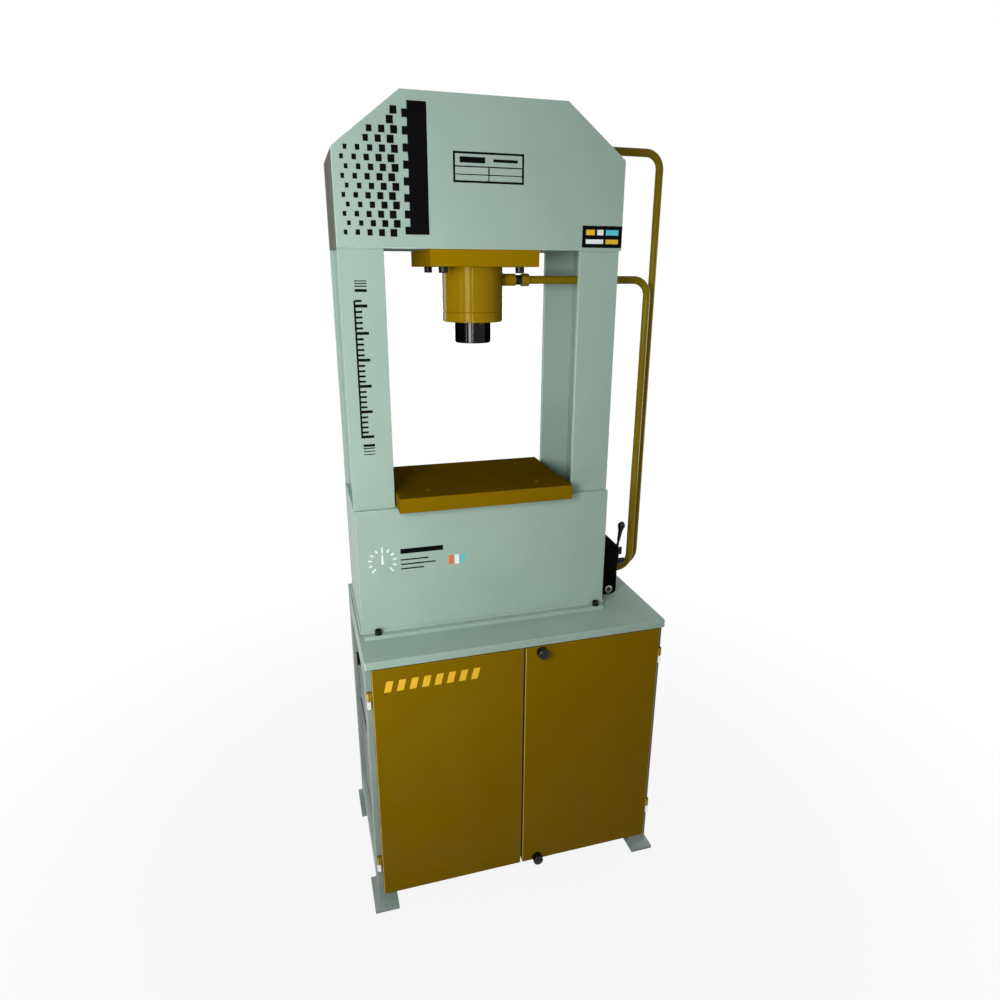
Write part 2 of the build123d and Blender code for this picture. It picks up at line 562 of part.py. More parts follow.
PUMP_X1 = 135
with BuildPart() as pump:
    block(BELL_X1, PUMP_X1, MOT_Y - 40, MOT_Y + 40, MOT_Z - 50, MOT_Z + 50)
    fillet(pump.edges().filter_by(Axis.X), 14)
    along_x(BELL_X1 - 12, BELL_X1, MOT_Y, MOT_Z, 25)
    along_x(BELL_X1 - 13, BELL_X1 + 40, MOT_Y, MOT_Z, 9.05, Mode.SUBTRACT)
    post(SUCT_X, MOT_Y, MOT_Z - 51, MOT_Z - 30, 11, Mode.SUBTRACT)
    post(SUCT_X + 10, MOT_Y, MOT_Z + 30, MOT_Z + 51, 8, Mode.SUBTRACT)
save(pump, "pump")

with BuildPart() as drive_shaft:
    along_x(MOT_X1 - 58, MOT_X1 + 20, MOT_Y, MOT_Z, 12)
    along_x(MOT_X1 + 6, MOT_X1 + 28, MOT_Y, MOT_Z, 27)
    with BuildSketch(Plane.YZ.offset(MOT_X1 + 28)):
        with Locations((MOT_Y, MOT_Z)):
            Circle(23)
            with PolarLocations(22, 6):
                Rectangle(10, 8)
    extrude(amount=9)
    along_x(MOT_X1 + 37, MOT_X1 + 58, MOT_Y, MOT_Z, 27)
    along_x(MOT_X1 + 50, BELL_X1 + 35, MOT_Y, MOT_Z, 9)
save(drive_shaft, "drive_shaft")

with BuildPart() as suction_pipe:
    post(SUCT_X, MOT_Y, 190, MOT_Z - 32, 11)
    post(SUCT_X, MOT_Y, 140, 195, 28)
    post(SUCT_X, MOT_Y, 200, MOT_Z - 31, 8, Mode.SUBTRACT)
save(suction_pipe, "suction_pipe")

with BuildPart() as tank_pipes:
    with BuildLine(mode=Mode.PRIVATE) as p_path:
        FilletPolyline((SUCT_X + 10, MOT_Y, MOT_Z + 32), (SUCT_X + 10, MOT_Y, 600),
                       (P_LINE[0], P_LINE[1], 650), (P_LINE[0], P_LINE[1], CAB_H + 18), radius=25)
    with BuildSketch(Plane.XY.offset(MOT_Z + 32)):
        with Locations((SUCT_X + 10, MOT_Y)):
            Circle(8)
            Circle(5, mode=Mode.SUBTRACT)
    sweep(path=p_path.wires()[0])
    with BuildLine(mode=Mode.PRIVATE) as t_path:
        FilletPolyline((RET_X, RET_Y, 250), (RET_X, RET_Y, 560),
                       (T_LINE[0], T_LINE[1], 610), (T_LINE[0], T_LINE[1], CAB_H + 18), radius=25)
    with BuildSketch(Plane.XY.offset(250)):
        with Locations((RET_X, RET_Y)):
            Circle(8)
            Circle(5, mode=Mode.SUBTRACT)
    sweep(path=t_path.wires()[0])
save(tank_pipes, "tank_pipes")

# Motor starter hung behind the open left side, with its rotary switch
BOX_X0 = -388
BOX_Y = 70
SW_Z = 600
BOX_W = 120
with BuildPart() as starter_box:
    block(BOX_X0, BOX_X0 + BOX_W - 2, BOX_Y - 100, BOX_Y + 100, 440, POST_Z1 - RAIL_H)
    fillet(starter_box.edges().filter_by(Axis.X), 6)
    block(BOX_X0 + 2, BOX_X0 + BOX_W, BOX_Y - 98, BOX_Y + 98, 442, POST_Z1 - RAIL_H - 2,
          Mode.SUBTRACT)
    along_x(BOX_X0 - 1, BOX_X0 + 20, BOX_Y, SW_Z, 5.05, Mode.SUBTRACT)
save(starter_box, "starter_box")

with BuildPart() as starter_cover:
    block(BOX_X0 + BOX_W - 2, BOX_X0 + BOX_W, BOX_Y - 100, BOX_Y + 100, 440, POST_Z1 - RAIL_H)
    fillet(starter_cover.edges().filter_by(Axis.X), 6)
save(starter_cover, "starter_cover")

with BuildPart() as starter_switch:
    along_x(BOX_X0 - 3, BOX_X0 - 0.4, BOX_Y, SW_Z, 20)
    block(BOX_X0 - 9, BOX_X0 - 2, BOX_Y - 5, BOX_Y + 5, SW_Z - 18, SW_Z + 18)
    along_x(BOX_X0 - 1, BOX_X0 + 18, BOX_Y, SW_Z, 5)
save(starter_switch, "starter_switch")
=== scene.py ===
import bpy
import bmesh
import json
import math
import random
from mathutils import Matrix, Vector


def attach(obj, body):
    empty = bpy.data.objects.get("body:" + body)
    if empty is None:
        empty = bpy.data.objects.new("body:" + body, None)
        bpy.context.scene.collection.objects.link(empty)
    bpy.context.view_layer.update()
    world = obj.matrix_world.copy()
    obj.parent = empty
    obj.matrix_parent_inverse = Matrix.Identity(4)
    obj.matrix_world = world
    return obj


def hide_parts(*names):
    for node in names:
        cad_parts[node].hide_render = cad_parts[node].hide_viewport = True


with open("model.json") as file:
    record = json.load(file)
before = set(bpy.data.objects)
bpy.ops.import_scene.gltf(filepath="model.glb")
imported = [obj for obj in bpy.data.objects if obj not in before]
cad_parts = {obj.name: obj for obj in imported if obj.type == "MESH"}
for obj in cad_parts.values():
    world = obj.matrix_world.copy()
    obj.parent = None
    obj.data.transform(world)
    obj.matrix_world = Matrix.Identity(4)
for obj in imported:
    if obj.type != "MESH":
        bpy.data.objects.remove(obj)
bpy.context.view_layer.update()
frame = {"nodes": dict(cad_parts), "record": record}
nodes = frame["nodes"]
subparts = frame["record"]["subparts"]
MM = 0.001

# Which body each node rides on, and which slot its material fills
body_of_node = {}
for body_name, members in frame["record"]["behaviour"]["bodies"].items():
    for member in members:
        body_of_node[member] = body_name
slot_of_node = {entry["node"]: entry["material_slot"] for entry in subparts}


# Camera of the photograph, solved from the straight edges of the press
CAMERA_PLACE = (-0.50027, -1.70802, 1.645)
CAMERA_YAW, CAMERA_PITCH, CAMERA_ROLL = 16.43, -18.193, 0.256
SENSOR, FOCAL_SHARE = 36, 0.696886


def set_camera():
    yaw, pitch, roll = (math.radians(angle) for angle in (CAMERA_YAW, CAMERA_PITCH, CAMERA_ROLL))
    forward = Vector((math.sin(yaw) * math.cos(pitch), math.cos(yaw) * math.cos(pitch), math.sin(pitch)))
    level = Vector((math.cos(yaw), -math.sin(yaw), 0))
    upright = level.cross(forward)
    right = level * math.cos(roll) + upright * math.sin(roll)
    up = upright * math.cos(roll) - level * math.sin(roll)
    lens = bpy.data.cameras.new("press_camera")
    lens.sensor_fit = "HORIZONTAL"
    lens.sensor_width = SENSOR
    lens.lens = SENSOR * FOCAL_SHARE
    lens.clip_end = 60
    camera = bpy.data.objects.new("press_camera", lens)
    turn = Matrix((right, up, -forward)).transposed().to_4x4()
    camera.matrix_world = Matrix.Translation(CAMERA_PLACE) @ turn
    bpy.context.collection.objects.link(camera)
    bpy.context.scene.camera = camera


# Small helpers for shader trees
def group_of(name, inputs, outputs):
    group = bpy.data.node_groups.new(name, "ShaderNodeTree")
    for label, kind, value in inputs:
        sock = group.interface.new_socket(name=label, in_out="INPUT", socket_type=kind)
        sock.default_value = value
    for label, kind in outputs:
        group.interface.new_socket(name=label, in_out="OUTPUT", socket_type=kind)
    enter = group.nodes.new("NodeGroupInput")
    leave = group.nodes.new("NodeGroupOutput")
    return group, enter, leave


def math_node(tree, operation, a, b=None, clamp=False):
    node = tree.nodes.new("ShaderNodeMath")
    node.operation = operation
    node.use_clamp = clamp
    for i, value in enumerate((a, b)):
        if value is None:
            continue
        if isinstance(value, (int, float)):
            node.inputs[i].default_value = value
        else:
            tree.links.new(value, node.inputs[i])
    return node.outputs[0]


def noise(tree, vector, scale, detail, rough):
    node = tree.nodes.new("ShaderNodeTexNoise")
    tree.links.new(vector, node.inputs["Vector"])
    node.inputs["Scale"].default_value = scale
    node.inputs["Detail"].default_value = detail
    node.inputs["Roughness"].default_value = rough
    return node.outputs[0]


def spread(tree, value, low, high, out_low=0.0, out_high=1.0):
    node = tree.nodes.new("ShaderNodeMapRange")
    tree.links.new(value, node.inputs["Value"])
    node.inputs["From Min"].default_value = low
    node.inputs["From Max"].default_value = high
    node.inputs["To Min"].default_value = out_low
    node.inputs["To Max"].default_value = out_high
    return node.outputs[0]


def mix_colour(tree, factor, a, b):
    node = tree.nodes.new("ShaderNodeMix")
    node.data_type = "RGBA"
    tree.links.new(factor, node.inputs[0])
    tree.links.new(a, node.inputs[6])
    node.inputs[7].default_value = b + (1,)
    return node.outputs[2]


def scaled_vector(tree, vector, factor):
    node = tree.nodes.new("ShaderNodeVectorMath")
    node.operation = "SCALE"
    tree.links.new(vector, node.inputs[0])
    tree.links.new(factor, node.inputs["Scale"])
    return node.outputs[0]


def split_vector(tree, vector):
    node = tree.nodes.new("ShaderNodeSeparateXYZ")
    tree.links.new(vector, node.inputs[0])
    return node.outputs


# Every finish gives a colour, a change of roughness and a height for the bump
FINISH_OUTPUTS = (("Colour", "NodeSocketColor"), ("Roughness", "NodeSocketFloat"),
                  ("Height", "NodeSocketFloat"))
GREY = (0.5, 0.5, 0.5, 1)
DUST_GREY = (0.40, 0.40, 0.40)
SPECK_BROWN = (0.05, 0.05, 0.04)
DUST_LINE = 0.75
PEEL_DEPTH = 0.0003


# Sprayed enamel: cloudy tone, faint specks, orange peel, and shop dust below the dust line
def build_enamel():
    group, enter, leave = group_of(
        "sprayed_enamel",
        (("Place", "NodeSocketVector", (0, 0, 0)), ("Colour", "NodeSocketColor", GREY),
         ("Dust", "NodeSocketFloat", 0.1), ("Cloud", "NodeSocketFloat", 0.08)), FINISH_OUTPUTS)
    place = enter.outputs["Place"]
    cloud = noise(group, place, 3.5, 3, 0.55)
    patch = noise(group, place, 14, 4, 0.6)
    tone = math_node(group, "ADD", spread(group, cloud, 0.3, 0.7, -1, 1),
                     spread(group, patch, 0.3, 0.7, -0.5, 0.5))
    tone = math_node(group, "MULTIPLY", tone, enter.outputs["Cloud"])
    tone = math_node(group, "ADD", tone, 1.0)
    clouded = scaled_vector(group, enter.outputs["Colour"], tone)
    specks = spread(group, noise(group, place, 260, 2, 0.6), 0.70, 0.76, 0, 1)
    low = spread(group, split_vector(group, place)[2], 0.0, DUST_LINE, 1, 0)
    settled = spread(group, noise(group, place, 9, 5, 0.65), 0.42, 0.68, 0, 1)
    film = math_node(group, "MULTIPLY", low, settled)
    film = math_node(group, "MULTIPLY", film, enter.outputs["Dust"], clamp=True)
    shade = mix_colour(group, film, clouded, DUST_GREY)
    shade = mix_colour(group, math_node(group, "MULTIPLY", specks, 0.10), shade, SPECK_BROWN)
    group.links.new(shade, leave.inputs["Colour"])
    gloss = math_node(group, "ADD", spread(group, patch, 0.3, 0.7, -0.05, 0.06),
                      math_node(group, "MULTIPLY", film, 0.5))
    group.links.new(gloss, leave.inputs["Roughness"])
    peel = noise(group, place, 420, 2, 0.5)
    wave = noise(group, place, 60, 2, 0.5)
    height = math_node(group, "ADD", math_node(group, "MULTIPLY", peel, 0.35), wave)
    group.links.new(height, leave.inputs["Height"])
    return group


# Bare and blackened metal: fine scratches and cloudy roughness
def build_metal_grain():
    group, enter, leave = group_of(
        "metal_grain",
        (("Place", "NodeSocketVector", (0, 0, 0)), ("Colour", "NodeSocketColor", GREY),
         ("Stretch", "NodeSocketVector", (1, 1, 1)), ("Cloud", "NodeSocketFloat", 0.2)), FINISH_OUTPUTS)
    pull = group.nodes.new("ShaderNodeVectorMath")
    pull.operation = "MULTIPLY"
    group.links.new(enter.outputs["Place"], pull.inputs[0])
    group.links.new(enter.outputs["Stretch"], pull.inputs[1])
    scratches = noise(group, pull.outputs[0], 300, 3, 0.6)
    cloud = noise(group, enter.outputs["Place"], 25, 4, 0.6)
    tone = math_node(group, "MULTIPLY", spread(group, cloud, 0.3, 0.7, -1, 1), enter.outputs["Cloud"])
    tone = math_node(group, "ADD", tone, spread(group, scratches, 0.3, 0.7, 0.94, 1.06))
    group.links.new(scaled_vector(group, enter.outputs["Colour"], tone), leave.inputs["Colour"])
    gloss = math_node(group, "ADD", spread(group, cloud, 0.3, 0.7, -0.06, 0.08),
                      spread(group, scratches, 0.3, 0.7, -0.04, 0.04))
    group.links.new(gloss, leave.inputs["Roughness"])
    group.links.new(scratches, leave.inputs["Height"])
    return group


# Painted highlight on the rounded edges round the front and back faces: a mask of the faces that lean between
# two axes
def build_edge_highlight():
    group, enter, leave = group_of("edge_highlight", (("Facing", "NodeSocketVector", (0, 0, 1)),),
                                   (("Mask", "NodeSocketFloat"),))
    x, y, z = split_vector(group, enter.outputs["Facing"])
    across = math_node(group, "ABSOLUTE", math_node(group, "MULTIPLY", x, y))
    along = math_node(group, "ABSOLUTE", math_node(group, "MULTIPLY", y, z))
    both = math_node(group, "ADD", across, along)
    group.links.new(spread(group, both, 0.12, 0.45, 0, 1), leave.inputs["Mask"])
    return group


enamel_group = build_enamel()
edge_highlight_group = build_edge_highlight()
grain_group = build_metal_grain()


def start_material(name):
    mat = bpy.data.materials.new(name)
    mat.use_nodes = True
    tree = mat.node_tree
    place = tree.nodes.new("ShaderNodeTexCoord").outputs["Object"]
    return mat, tree, tree.nodes["Principled BSDF"], place


def wire_finish(tree, shader, group, place, rough, bump, depth, settings):
    effect = tree.nodes.new("ShaderNodeGroup")
    effect.node_tree = group
    tree.links.new(place, effect.inputs["Place"])
    for label, value in settings.items():
        effect.inputs[label].default_value = value
    tree.links.new(effect.outputs["Colour"], shader.inputs["Base Color"])
    total = math_node(tree, "ADD", effect.outputs["Roughness"], rough, clamp=True)
    tree.links.new(total, shader.inputs["Roughness"])
    relief = tree.nodes.new("ShaderNodeBump")
    relief.inputs["Strength"].default_value = bump
    relief.inputs["Distance"].default_value = depth
    tree.links.new(effect.outputs["Height"], relief.inputs["Height"])
    tree.links.new(relief.outputs["Normal"], shader.inputs["Normal"])
    return effect


# Level is the strength of the plain reflection, tint its colour
def set_gloss(shader, level, coat, tint):
    shader.inputs["Specular IOR Level"].default_value = level
    shader.inputs["Coat Weight"].default_value = coat
    if tint:
        shader.inputs["Specular Tint"].default_value = tint + (1,)


def enamel(name, colour, rough, coat=0.0, dust=0.2, cloud=0.05, bump=0.25, level=0.4, edge=None, tint=None):
    mat, tree, shader, place = start_material(name)
    effect = wire_finish(tree, shader, enamel_group, place, rough, bump, PEEL_DEPTH,
                         {"Colour": colour + (1,), "Dust": dust, "Cloud": cloud})
    set_gloss(shader, level, coat, tint)
    shader.inputs["Coat Roughness"].default_value = 0.12
    # edge: colour of a painted highlight laid on the rounded edges, made patchy by noise
    if edge:
        edge_highlight_node = tree.nodes.new("ShaderNodeGroup")
        edge_highlight_node.node_tree = edge_highlight_group
        tree.links.new(tree.nodes["Texture Coordinate"].outputs["Normal"], edge_highlight_node.inputs["Facing"])
        patchy_painted_light = spread(tree, noise(tree, place, 22, 3, 0.6), 0.35, 0.65, 0.55, 1.0)
        share = math_node(tree, "MULTIPLY", edge_highlight_node.outputs["Mask"], patchy_painted_light)
        tree.links.new(mix_colour(tree, share, effect.outputs["Colour"], edge), shader.inputs["Base Color"])
    return mat


def metal(name, colour, rough, metallic=1.0, stretch=(1, 1, 1), cloud=0.12, bump=0.12, depth=0.0001, coat=0.0,
          level=0.4, tint=None):
    mat, tree, shader, place = start_material(name)
    wire_finish(tree, shader, grain_group, place, rough, bump, depth,
                {"Colour": colour + (1,), "Stretch": stretch, "Cloud": cloud})
    shader.inputs["Metallic"].default_value = metallic
    set_gloss(shader, level, coat, tint)
    return mat


def vinyl(name, colour, rough=0.38, cloud=0.04, level=0.12):
    return metal(name, colour, rough, 0.0, cloud=cloud, bump=0.03, level=level)


# Work surface of the bed: painted shade darkens the ochre on its top face, unevenly in blotches, with lighter
# scuff marks over it
def build_bed_shaded_top():
    mat, tree, shader, place = start_material("bed_enamel_shaded_top")
    effect = wire_finish(tree, shader, enamel_group, place, 0.45, 0.2, PEEL_DEPTH,
                         {"Colour": (0.198, 0.114, 0.001, 1), "Dust": 0.0, "Cloud": 0.05})
    facing = tree.nodes.new("ShaderNodeNewGeometry")
    top = spread(tree, split_vector(tree, facing.outputs["Normal"])[2], 0.6, 0.95)
    shade_blotch = spread(tree, noise(tree, place, 11, 5, 0.62), 0.35, 0.72, 0.82, 1.0)
    scuff = spread(tree, noise(tree, place, 70, 4, 0.7), 0.60, 0.78, 0.0, 0.22)
    # Painted shade: the upward-facing top is darker, more in some blotches than in others
    top_shade = math_node(tree, "MULTIPLY", top, shade_blotch)
    shaded_top_colour = mix_colour(tree, top_shade, effect.outputs["Colour"], (0.108, 0.058, 0.0010))
    patchy_painted_light = mix_colour(tree, math_node(tree, "MULTIPLY", top, scuff), shaded_top_colour, (0.11, 0.07, 0.01))
    tree.links.new(patchy_painted_light, shader.inputs["Base Color"])
    shader.inputs["Specular IOR Level"].default_value = 0.0
    return mat


# Left end of the crown: painted shade makes its left-facing outer face greyer and darker than the rest of the
# frame
def build_crown_side_shade():
    mat = enamel("crown_side_painted_shade", SAGE, 0.50, dust=0.0, level=0.0)
    tree = mat.node_tree
    shader = tree.nodes["Principled BSDF"]
    coordinates = tree.nodes["Texture Coordinate"].outputs
    # Mask of the left-facing faces that get the painted shade
    left = spread(tree, split_vector(tree, coordinates["Normal"])[0], -0.5, -0.8, 0, 1)
    cloudy = spread(tree, noise(tree, coordinates["Object"], 9, 3, 0.6), 0.3, 0.7, 0.85, 1)
    painted = shader.inputs["Base Color"].links[0].from_socket
    left_side_shade = mix_colour(tree, math_node(tree, "MULTIPLY", left, cloudy), painted, (0.205, 0.195, 0.175))
    tree.links.new(left_side_shade, shader.inputs["Base Color"])
    return mat


# Finishes of the material slots, then the nodes that have one of their own
# The *_EDGE_HIGHLIGHT colours are painted highlights for the rounded edges
SAGE, SAGE_EDGE_HIGHLIGHT = (0.310, 0.424, 0.362), (0.52, 0.66, 0.58)
CABINET_SAGE = (0.300, 0.412, 0.350)
LEG_SAGE, LEG_EDGE_HIGHLIGHT = (0.235, 0.298, 0.262), (0.55, 0.60, 0.60)
OCHRE, OCHRE_EDGE_HIGHLIGHT = (0.200, 0.116, 0.0006), (0.62, 0.43, 0.09)
GOLD_TINT = (1, 0.88, 0.42)

finishes = {
    "frame_paint": enamel("sage_frame_enamel", SAGE, 0.36, dust=0.08, cloud=0.03, level=0.14, edge=SAGE_EDGE_HIGHLIGHT),
    "cabinet_paint": enamel("sage_cabinet_enamel", CABINET_SAGE, 0.38, cloud=0.035, level=0.14, edge=SAGE_EDGE_HIGHLIGHT),
    "ochre_paint": enamel("ochre_enamel", OCHRE, 0.34, dust=0.02, cloud=0.03, bump=0.15, level=0.02,
                          edge=OCHRE_EDGE_HIGHLIGHT),
    "black_steel": metal("black_oxide", (0.004, 0.004, 0.005), 0.36, 0.2, level=0.2),
    # Chrome rod: the very dark base colour and grey tint are a painted reflection of dark surroundings; the
    # chrome itself is far paler
    "chrome_rod": metal("chrome_painted_dark_reflection", (0.016, 0.016, 0.017), 0.05, stretch=(40, 40, 1), cloud=0.03, bump=0.05,
                        level=0.2, tint=(0.12, 0.12, 0.12)),
    "steel": metal("turned_steel", (0.42, 0.42, 0.41), 0.28, stretch=(30, 30, 1)),
    "seal_rubber": metal("seal_rubber", (0.02, 0.02, 0.02), 0.62, 0.0),
    "black_plastic": metal("black_phenolic", (0.004, 0.004, 0.005), 0.22, 0.0, cloud=0.08, coat=0.08, level=0.2),
    "tank_paint": enamel("black_tank_enamel", (0.018, 0.019, 0.021), 0.42, 0.1, dust=0.3, cloud=0.1),
    "motor_paint": enamel("motor_enamel", (0.06, 0.085, 0.11), 0.4, 0.2, dust=0.3, cloud=0.1),
    "pump_alloy": metal("cast_alloy", (0.5, 0.5, 0.5), 0.42, cloud=0.2, bump=0.4, depth=0.0003),
    "zinc": metal("zinc_plate", (0.50, 0.50, 0.48), 0.33, cloud=0.18),
}
ochre_gloss = enamel("ochre_gloss_enamel", (0.262, 0.152, 0.001), 0.10, dust=0.0, cloud=0.03, bump=0.16,
                     level=0.07, tint=GOLD_TINT)
pipe_ochre = enamel("pipe_enamel", (0.215, 0.146, 0.004), 0.22, dust=0.0, cloud=0.10, level=0.08,
                    tint=GOLD_TINT)
plate_ochre = enamel("plate_enamel", (0.262, 0.152, 0.0006), 0.30, dust=0.0, cloud=0.03, bump=0.15, level=0.0)
flange_sage = enamel("flange_enamel", SAGE, 0.40, dust=0.05, cloud=0.03, level=0.0, edge=SAGE_EDGE_HIGHLIGHT)
leg_sage = enamel("leg_enamel", LEG_SAGE, 0.40, dust=0.75, cloud=0.04, level=0.05, edge=LEG_EDGE_HIGHLIGHT)
plate_sage = enamel("plate_ground", (0.30, 0.40, 0.345), 0.40, dust=0.0, cloud=0.02)
weld_paint = enamel("painted_weld", (0.315, 0.415, 0.355), 0.40, 0.1, dust=0.12, cloud=0.06)
hinge_zinc = metal("hinge_zinc", (0.80, 0.81, 0.80), 0.26, 0.85, cloud=0.06)
cast_black = metal("cast_black_enamel", (0.0018, 0.0018, 0.002), 0.50, 0.0, cloud=0.1, bump=0.5, depth=0.0004,
                   level=0.02)
screw_black = metal("blackened_screw", (0.006, 0.006, 0.007), 0.30, 0.4, cloud=0.15, level=0.3)
socket_painted_shade = metal("socket_shadow", (0.003, 0.003, 0.003), 0.7, 0.0)
vinyl_black = vinyl("black_vinyl", (0.0025, 0.0025, 0.003), 0.40, 0.05, level=0.02)
vinyl_pale = vinyl("pale_vinyl", (0.78, 0.86, 0.82), 0.40, 0.02)
vinyl_amber = vinyl("amber_vinyl", (0.80, 0.47, 0.03))
vinyl_cyan = vinyl("cyan_vinyl", (0.10, 0.52, 0.62))
vinyl_rust = vinyl("rust_vinyl", (0.72, 0.16, 0.03))

own_finish = {"bed_plate": build_bed_shaded_top(), "crown_side_plates": build_crown_side_shade(),
              "cylinder_barrel": ochre_gloss, "cylinder_gland": ochre_gloss, "cylinder_cap": ochre_gloss,
              "cylinder_plate": plate_ochre, "upper_pipe": pipe_ochre, "lower_pipe": pipe_ochre,
              "union_nuts": pipe_ochre, "left_flanges": flange_sage, "crown_bottom": flange_sage,
              "cabinet_posts": leg_sage, "foot_plates": leg_sage, "hinge_pins": hinge_zinc,
              "valve_body": cast_black, "valve_spool": finishes["black_steel"]}
for entry in subparts:
    materials = nodes[entry["node"]].data.materials
    materials.clear()
    materials.append(own_finish.get(entry["node"], finishes[entry["material_slot"]]))


# Edges that turn by more than this many degrees stay sharp
SHARP_ANGLE = 35


# Turning a bmesh into a piece that rides on a body
def piece_from(bm, name, material, body, smooth=SHARP_ANGLE):
    mesh = bpy.data.meshes.new(name)
    bm.to_mesh(mesh)
    bm.free()
    for face in mesh.polygons:
        face.use_smooth = True
    mesh.set_sharp_from_angle(angle=math.radians(smooth))
    mesh.materials.append(material)
    obj = bpy.data.objects.new(name, mesh)
    bpy.context.collection.objects.link(obj)
    if body:
        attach(obj, body)
    return obj


# Broken edges on sheared and sawn plate: a copy of the CAD node with small bevels
def ease_edges(node, width, segments):
    bm = bmesh.new()
    bm.from_mesh(nodes[node].data)
    bmesh.ops.remove_doubles(bm, verts=bm.verts, dist=1e-6)
    bmesh.ops.dissolve_limit(bm, angle_limit=math.radians(0.5), verts=bm.verts, edges=bm.edges)
    sharp = [edge for edge in bm.edges
             if len(edge.link_faces) == 2 and edge.calc_face_angle(0) > math.radians(SHARP_ANGLE)]
    bmesh.ops.bevel(bm, geom=sharp, offset=width * MM, offset_type="OFFSET", segments=segments, profile=0.5,
                    affect="EDGES", clamp_overlap=True, material=-1)
    obj = piece_from(bm, node + "_eased", nodes[node].data.materials[0], body_of_node[node])
    obj.modifiers.new("even_shading", "WEIGHTED_NORMAL").keep_sharp = True
    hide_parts(node)


# Width of the bevel in millimetres, its segments, and the nodes that have it
EASED = ((1.2, 2, ("crown_front_plate", "crown_back_plate", "crown_cover", "left_flanges", "right_flanges",
                   "bed_front_plate", "bed_back_plate", "base_flange", "cabinet_top", "cylinder_plate",
                   "foot_plates")),
         (0.8, 2, ("bed_plate",)),
         (1.8, 3, ("left_door", "right_door")),
         (0.8, 2, ("cabinet_posts", "front_rails", "side_panel", "back_panel", "motor", "bell_housing")),
         (1.5, 3, ("valve_body",)),
         (0.8, 2, ("union_nuts", "lever_bracket")))
for width, segments, eased in EASED:
    for node in eased:
        ease_edges(node, width, segments)


# Adds one bmesh to another, moved from millimetres round its own centre to its place
def gather(target, part, matrix):
    bmesh.ops.transform(part, matrix=matrix, verts=part.verts)
    mesh = bpy.data.meshes.new("gather")
    part.to_mesh(mesh)
    part.free()
    target.from_mesh(mesh)
    bpy.data.meshes.remove(mesh)


def place_at(x, y, z):
    return Matrix.Translation(Vector((x, y, z)) * MM) @ Matrix.Scale(MM, 4)


def place_along(origin, axis):
    turn = Vector(axis).to_track_quat("Z", "Y").to_matrix().to_4x4()
    return Matrix.Translation(Vector(origin) * MM) @ turn @ Matrix.Scale(MM, 4)


def only(kind, geometry):
    return [item for item in geometry if isinstance(item, kind)]


# Extrudes one face by a height along Z and gives back what the extrusion made
def raise_face(bm, face, height):
    grown = bmesh.ops.extrude_face_region(bm, geom=[face])["geom"]
    bmesh.ops.translate(bm, vec=(0, 0, height), verts=only(bmesh.types.BMVert, grown))
    return grown


def highest_face(bm):
    return max(bm.faces, key=lambda face: face.calc_center_median().z)


# A turned part: (radius, height) pairs in millimetres, spun round Z
def turned(profile, steps):
    bm = bmesh.new()
    verts = [bm.verts.new((radius, 0, height)) for radius, height in profile]
    edges = [bm.edges.new(pair) for pair in zip(verts, verts[1:])]
    bmesh.ops.spin(bm, geom=verts + edges, cent=(0, 0, 0), axis=(0, 0, 1), angle=math.tau, steps=steps,
                   use_merge=True, use_duplicate=False)
    bmesh.ops.remove_doubles(bm, verts=bm.verts, dist=1e-4)
    bmesh.ops.recalc_face_normals(bm, faces=bm.faces)
    return bm


# Socket head standing on its seat at height 0, with a hexagon socket half as deep as the head
def cap_screw(radius, height, across):
    bm = bmesh.new()
    bmesh.ops.create_circle(bm, cap_ends=True, radius=radius, segments=36)
    raise_face(bm, bm.faces[:][0], height)
    bmesh.ops.bevel(bm, geom=highest_face(bm).edges[:], offset=radius * 0.13, segments=3, profile=0.5,
                    affect="EDGES", material=-1)
    face = highest_face(bm)
    bmesh.ops.inset_individual(bm, faces=[face], thickness=radius * 0.3)
    for vert in face.verts:
        angle = math.atan2(vert.co.y, vert.co.x) % math.radians(60) - math.radians(30)
        reach = across / 2 / math.cos(angle) / math.hypot(vert.co.x, vert.co.y)
        vert.co.x *= reach
        vert.co.y *= reach
    raise_face(bm, face, -height * 0.5)
    bmesh.ops.delete(bm, geom=[face], context="FACES_ONLY")
    bmesh.ops.recalc_face_normals(bm, faces=bm.faces)
    return bm


# Welded seam: a rippled round bead along a straight run
RIPPLE = 3.2


def bead(bm, start, end, radius, draw):
    start, end = Vector(start), Vector(end)
    run = end - start
    count = max(2, int(run.length / RIPPLE))
    strand = bmesh.new()
    bmesh.ops.create_circle(strand, cap_ends=True, radius=radius, segments=8)
    face = strand.faces[:][0]
    for i in range(count):
        grown = raise_face(strand, face, run.length / count)
        if i:
            bmesh.ops.delete(strand, geom=[face], context="FACES_ONLY")
        face = only(bmesh.types.BMFace, grown)[0]
        swell = (1.0 if i % 2 else 0.86) * draw.uniform(0.94, 1.06)
        middle = face.calc_center_median()
        for vert in face.verts:
            away = Vector((vert.co.x - middle.x, vert.co.y - middle.y, 0)).normalized()
            vert.co.x = away.x * radius * swell
            vert.co.y = away.y * radius * swell
    bmesh.ops.recalc_face_normals(strand, faces=strand.faces)
    gather(bm, strand, place_along(start, run))


# Flat stickers: thin slabs (x0, x1, z0, z1) standing on a face that looks along -Y
def stickers(name, material, face_y, blocks, body="press", lean=0.0, thick=0.25):
    bm = bmesh.new()
    for x0, x1, z0, z1 in blocks:
        slab = bmesh.new()
        bmesh.ops.create_cube(slab, size=1)
        bmesh.ops.scale(slab, vec=(x1 - x0, thick, z1 - z0), verts=slab.verts)
        for vert in slab.verts:
            vert.co.x += lean * vert.co.z
        gather(bm, slab, place_at((x0 + x1) / 2, face_y - thick / 2, (z0 + z1) / 2))
    piece_from(bm, name, material, body)


# Front faces of the crown and the lower box, of the columns and of the doors
CROWN_Y, COLUMN_Y, DOOR_Y = -104, -92, -232

